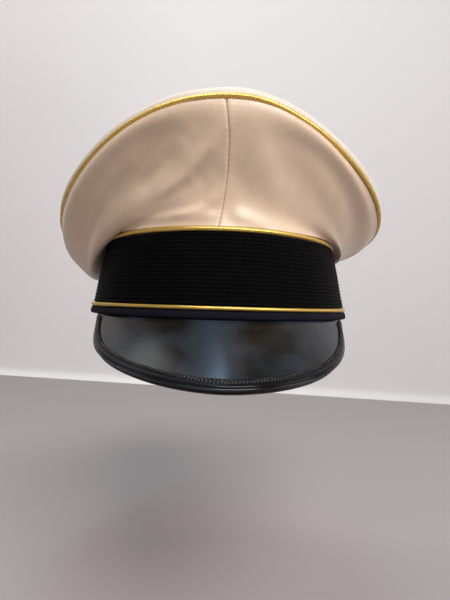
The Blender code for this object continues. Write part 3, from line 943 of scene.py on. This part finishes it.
def add_visor():
    side, v = down_rows(-1, 1, 181), shares(49)
    hidden = 0.03  # the share that runs in under the welt
    top = visor_point(side, visor_length(side) * (v * (1 + hidden) - hidden))
    piece = surface("visor_top", top[:, ::-1], "patent", thickness=0.7)
    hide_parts("visor_patent")
    lining_reach, lining_depth = 0.95, 3.3
    side = side * lining_reach
    beyond = mix(4.0 * np.minimum(1, visor_length(side) / 9), visor_length(side) - 0.4, v)
    lower = visor_point(side, beyond, lining_depth)
    lining = surface("visor_lining", lower, "visor_lining", thickness=0.5)
    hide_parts("visor_underside")
    add_core_board()
    add_binding()


def add_core_board():
    """The pressed board between the gloss and the lining, with a flange turned up inside the band."""
    side, v = down_rows(-0.97, 0.97, 121), shares(41)
    flange_share, flange_top = 0.2, 9.0
    flange_height = mix(flange_top, 0.6, clip(v / flange_share, 0, 1))
    flange = band_point(VISOR_HALF_ANGLE * side + VISOR_TURN, 4.95, flange_height)
    along = clip((v - flange_share) / (1 - flange_share), 0, 1)
    beyond = mix(np.minimum(1.0, 0.3 * visor_length(side)), visor_length(side) - 1.6, along)
    board = visor_point(side, beyond, 1.3)
    points = np.where((v < flange_share)[..., None], flange, board)
    piece = surface("visor_core_board", points[:, ::-1], "fibre", thickness=0.6)
    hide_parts("visor_core")


BINDING_STITCH_BACK = 4.9  # from the visor's edge to the middle of the stitches


def binding_room(side):
    """How much of its full width the binding has, less towards the visor's ends."""
    return clip(visor_length(side) / 7.5, 0.12, 1.0)


def add_binding():
    """The bound edge: a grained lip, a groove, a glossy roll and a lip below."""
    side = down_rows(-0.985, 0.985, 1101)
    roll = np.radians(np.linspace(125, -118, 15))
    roll_back, roll_depth, roll_radius = -2.3, 1.2, 1.65
    # the outline across the edge, each point as (out past the visor's edge, depth under its top)
    skin = [(-5.7, -0.1), (-5.6, -0.45), (-5.4, -0.6), (-4.9, -0.68), (-4.3, -0.6), (-3.9, -0.4)]
    skin += [(roll_back + roll_radius * cos(a), roll_depth - roll_radius * sin(a)) for a in roll]
    skin += [(-3.4, 3.75), (-5.6, 3.8)]
    across, depth = np.array(skin).T[:, None]
    room = binding_room(side)
    across = np.where(across < 0, across * room, across)
    grain = 0.25 * sin(side * 480 + 2.5 * across) * hump(across, -4.8, 0.8) * room
    points = visor_point(side, visor_length(side) + across, depth - grain)
    piece = surface("visor_bound_edge", points[:, ::-1], "binding", thickness=0.3, offset=1.0)
    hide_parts("visor_binding")
    add_binding_stitches()


def add_binding_stitches():
    middle = np.linspace(-0.93, 0.93, 128)
    half = 0.36 * (middle[1] - middle[0])
    back = BINDING_STITCH_BACK * binding_room(middle)

    def place(side):
        return visor_point(side, visor_length(side) - back, -0.72)

    stitch_row("binding_stitches", place, middle, half, 0.42, "black_thread")


# ---- inside

SWEATBAND_STITCHES = 186
SHIELD_STITCHES = 110


def add_sweatband():
    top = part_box("sweatband")[1][2] / MM
    angle, v = ring_rows(360), shares(44)
    height = mix(0.5, top - 0.4 + 0.5 * sin(angle * 3), v)
    wave = smooth_noise(31, signed(angle) * 2.5, v * 2, waves=6, highest=3) * 0.5 * v**2
    lap = 0.25 * hump(v, 0.97, 0.03)
    points = band_point(angle, 0.1 - 0.4 * v**3 + wave * 0.6 - lap, height)
    piece = surface("sweatband_leather", points, "leather", RING, 1.0, 1.0)
    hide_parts("sweatband")
    turn = tube_turns(14)
    reed_out, reed_height, reed_radius = 2.7, 1.4, 0.9
    reed_rise = reed_height + reed_radius * sin(turn)
    reed = band_point(ring_rows(300), reed_out + reed_radius * cos(turn), reed_rise)
    edge = surface("sweatband_reed_roll", reed, "leather", CORD)
    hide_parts("sweatband_reed")
    add_sweatband_stitches()
    add_bow()
    add_size_tab()


def add_sweatband_stitches():
    half = 0.33 * ALL_ROUND / SWEATBAND_STITCHES
    for name, height in (("lower_stitches", 3.6), ("upper_stitches", 36.5)):

        def place(angle):
            return band_point(angle, -0.25, height)

        stitch_row(name, place, round_angles(SWEATBAND_STITCHES), half, 0.22, "tan_thread")


def add_bow():
    """A flat ribbon tied in a small bow at the back of the sweatband."""
    low, high = node_box("sweatband_bow")
    middle = (low + high) / 2
    reach = (high - low) / 2 - (0.6, 0.6, 0.9)
    turn = tube_turns(120)[0]
    line = middle + reach * joined(sin(turn), cos(turn), sin(2 * turn))
    forward = unit(np.roll(line, -1, 0) - np.roll(line, 1, 0))
    depthwise = unit(np.array([0.0, 1.0, 0.0]) - forward * forward[:, 1:2])
    flat = np.cross(forward, depthwise)
    around = tube_turns(10)[..., None]
    half_width, half_thickness = 0.75, 0.26
    points = line[:, None] + half_width * cos(around) * depthwise[:, None]
    points = points + half_thickness * sin(around) * flat[:, None]
    bow = surface("bow_ribbon_loops", points, "ribbon", CORD)
    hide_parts("sweatband_bow")
    u, v = down_rows(0.05, pi - 0.05, 16), tube_turns(24)
    knot = middle + joined(1.5 * cos(u), 1.5 * sin(u) * cos(v), 1.7 * sin(u) * sin(v))
    surface("bow_knot", knot, "ribbon", TUBE, caps=True)


def add_size_tab():
    low, high = node_box("size_tab")
    half_angle = radians(7.2)
    u, v = down_rows(-1, 1, 41), shares(31)
    hem = 0.12 * (hump(np.abs(u), 0.94, 0.05) + hump(np.abs(v - 0.5), 0.46, 0.04))
    points = band_point(pi + half_angle * u, -0.95 - hem, mix(low[2], high[2], v))
    piece = surface("size_tab_blank", points, "satin", thickness=0.3, offset=1.0)
    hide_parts("size_tab")
    width, height = mean_size(points)


LINING_OUT, LINING_TOP_OUT = 1.5, -0.5  # at the lining's foot, and where its side meets its top


def lining_pleats(angle):
    return sin(34 * angle + 1.5 * sin(5 * angle))


def domed(low, high, share):
    """Heights of a round sheet that rises from its edge and is flat in its middle."""
    return mix(low, high, 1 - (1 - share) ** 2)


def add_lining():
    low, high = node_box("lining_side")
    angle, v = ring_rows(360), shares(60)
    pleats = lining_pleats(angle) * 0.28 * smoothstep((v - 0.45) * 3)
    out = LINING_OUT + (LINING_TOP_OUT - LINING_OUT) * smoothstep((v - 0.75) / 0.25) + pleats
    points = band_point(angle, out, mix(low[2], high[2], v))
    side = surface("lining_side_satin", points, "satin", RING, 0.4, 1.0)
    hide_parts("lining_side")
    length, tall = mean_size(points)
    add_lining_top(high[2])
    add_sweat_shield()


def add_lining_top(edge_height):
    angle, share = ring_rows(360), shares(70, 0.99)
    edge = band_point(angle, LINING_TOP_OUT, edge_height)
    points = scaled(edge, 1 - share)
    puff = smooth_noise(41, points[..., 0] / 30, points[..., 1] / 30, waves=8, highest=2.4) * 0.7
    gathers = lining_pleats(angle) * 0.3 * hump(share, 0.0, 0.16)
    rise = domed(edge_height, node_box("lining_top")[1][2] - 0.6, share)
    points = joined(points[..., 0], points[..., 1], rise + puff * smoothstep(share * 5) + gathers)
    top = surface("lining_top_satin", points, "satin", RING, 0.4, 1.0, disc=True)
    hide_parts("lining_top")


def add_sweat_shield():
    low, high = node_box("sweat_shield")

    def oval(angle, share, height):
        return joined(share * high[0] * sin(angle), -share * high[1] * cos(angle), height)

    angle, share = ring_rows(240), shares(40, 0.985)
    flat = oval(angle, 1 - share, 0.0)
    ripple = smooth_noise(43, flat[..., 0] / 18, flat[..., 1] / 18, waves=6, highest=2.2) * 0.35
    points = oval(angle, 1 - share, domed(low[2] - 1.2, high[2] - 1.6, share) + ripple)
    piece = surface("sweat_shield_vinyl", points, "vinyl", RING, 0.3, 1.0, disc=True)
    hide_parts("sweat_shield")

    def place(angle):
        return oval(angle, 0.965, low[2] - 0.75)

    half = 0.3 * ALL_ROUND / SHIELD_STITCHES
    stitch_row("shield_stitches", place, round_angles(SHIELD_STITCHES), half, 0.25, "tan_thread")


def dress_foundation():
    """The band's foundation is the CAD's own piece; it only gets a material here."""
    mesh = frame["nodes"]["band_foundation"].data
    mesh.materials.clear()
    mesh.materials.append(LOOK["buckram"])


# ---- studio


def plain_material(name, colour, roughness, painted_right_shade=1.0):
    n = material(name)
    plain = n.ramp(n.noise(n.place(), 3.0), (0.3, tuple(0.97 * c for c in colour)), (0.7, colour))
    # the colour is scaled down towards the right side: painted shade, where the room's light falls off
    right_shade_share = n.range(n.split(n.place())[0], 0.0, 1.0, -0.1, 0.5)
    n.set(Base_Color=n.blend(right_shade_share, plain, tuple(painted_right_shade * c for c in colour)), Roughness=roughness)
    return n.owner


def add_stage():
    """A pale table with a wall behind, one curved sheet."""
    table_height, wall_place, bend = -0.215, 0.80, 0.02
    table_front, wall_top, half_width = -2.2, 2.4, 3.0
    curve = np.linspace(0.2, pi / 2, 6)
    outline = [(table_front, table_height), (wall_place - bend, table_height)]
    outline += [(wall_place - bend + bend * sin(a), table_height + bend - bend * cos(a)) for a in curve]
    outline += [(wall_place, wall_top)]
    turned = 0.188  # the wall runs away to the left of the camera
    vertices = [(x, y - turned * x, z) for y, z in outline for x in (-half_width, half_width)]
    faces = [(2 * k, 2 * k + 1, 2 * k + 3, 2 * k + 2) for k in range(len(outline) - 1)]
    mesh = bpy.data.meshes.new("table_and_wall")
    mesh.from_pydata(vertices, [], faces)
    mesh.materials.append(plain_material("pale_table", (0.33, 0.29, 0.285), 0.6))
    # the wall's last number paints shade on its right side; the table keeps its own colour
    mesh.materials.append(plain_material("pale_wall", (0.80, 0.755, 0.74), 0.9, 0.80))
    for polygon in mesh.polygons[1:]:
        polygon.material_index = 1
    stage = placed("table_and_wall", mesh)


def add_area(name, place, target, size, power, colour):
    light = bpy.data.lights.new(name, "AREA")
    light.shape = "RECTANGLE"
    light.size, light.size_y = size
    light.energy = power
    light.color = colour
    lamp = placed(name, light)
    lamp.location = place
    lamp.rotation_euler = (Vector(target) - Vector(place)).to_track_quat("-Z", "Y").to_euler()


def add_light():
    """A room that is warm below and cool above, and five soft panels."""
    n = Nodes(bpy.data.worlds.new("soft_room"), "Background")
    height = n.split(n.make("TexCoord").outputs["Generated"])["Z"]
    warm, cool = (0.95, 0.90, 0.86), (0.62, 0.84, 1.0)
    n.set(Color=n.ramp(height, (0.05, warm), (0.8, cool)), Strength=0.27)
    bpy.context.scene.world = n.owner
    add_area("front_key", (0.42, -1.15, 1.28), (0, 0, 0.05), (1.0, 0.6), 31.0, (1.0, 0.98, 0.97))
    add_area("wall_wash", (-1.1, 0.45, 2.0), (-1.0, 1.0, 0.0), (2.4, 0.3), 15.5, (1.0, 0.96, 0.94))
    add_area("cool_panel", (-0.02, -0.15, 1.5), (0, -0.12, 0), (0.08, 0.6), 3.4, (0.42, 0.74, 1.0))
    add_area("right_wall", (1.5, -0.5, 0.6), (0, 0, 0), (0.9, 1.0), 7.0, (1.0, 0.96, 0.93))
    add_area("left_wall", (-1.5, -0.5, 0.6), (0, 0, 0), (0.9, 1.0), 1.2, (1.0, 0.93, 0.86))


def add_camera():
    """The view of someone facing the cap at the height of its visor, close to it."""
    lens = bpy.data.cameras.new("camera")
    lens.sensor_width = 36.0
    lens.lens = 25.98
    lens.clip_start = 0.01
    camera = placed("camera", lens)
    camera.location = (0.0045, -0.330, 0.0093)
    camera.rotation_euler = (pi / 2 + 0.0045, -0.028, 0.0)
    bpy.context.scene.camera = camera


add_stage()
add_light()
add_camera()
add_quarters()
add_top_panel()
add_front_stiffener()
add_rim_core()
add_rim_piping()
add_band_cloth()
add_band()
add_visor()
add_sweatband()
add_lining()
dress_foundation()
bpy.context.scene.view_settings.view_transform = "Standard"
